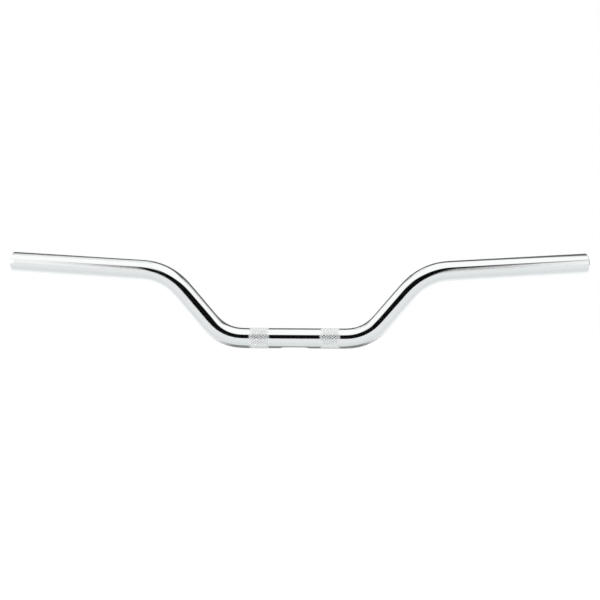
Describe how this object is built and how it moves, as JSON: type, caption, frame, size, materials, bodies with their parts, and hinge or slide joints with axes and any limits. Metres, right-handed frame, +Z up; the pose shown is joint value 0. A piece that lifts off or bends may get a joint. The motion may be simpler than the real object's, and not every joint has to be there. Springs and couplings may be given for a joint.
{
  "type": "motorcycle handlebar",
  "caption": "Bent tube handlebar with a low rise and swept-back grips, knurled clamp bands, an underside wiring slot and a notched throttle end.",
  "frame": {"origin": "on the tube's axis, midway between the two riser clamps", "axes": "+X along the clamped stretch to the rider's left (clutch side), +Y back towards the rider, +Z up"},
  "size_m": [0.7414, 0.0689, 0.1217],
  "materials": {
    "chrome_plate": "mirror-polished plate on steel, satin on the knurled bands"
  },
  "bodies": {
    "root": {"handlebar_tube": "chrome_plate"}
  },
  "joints": []
}
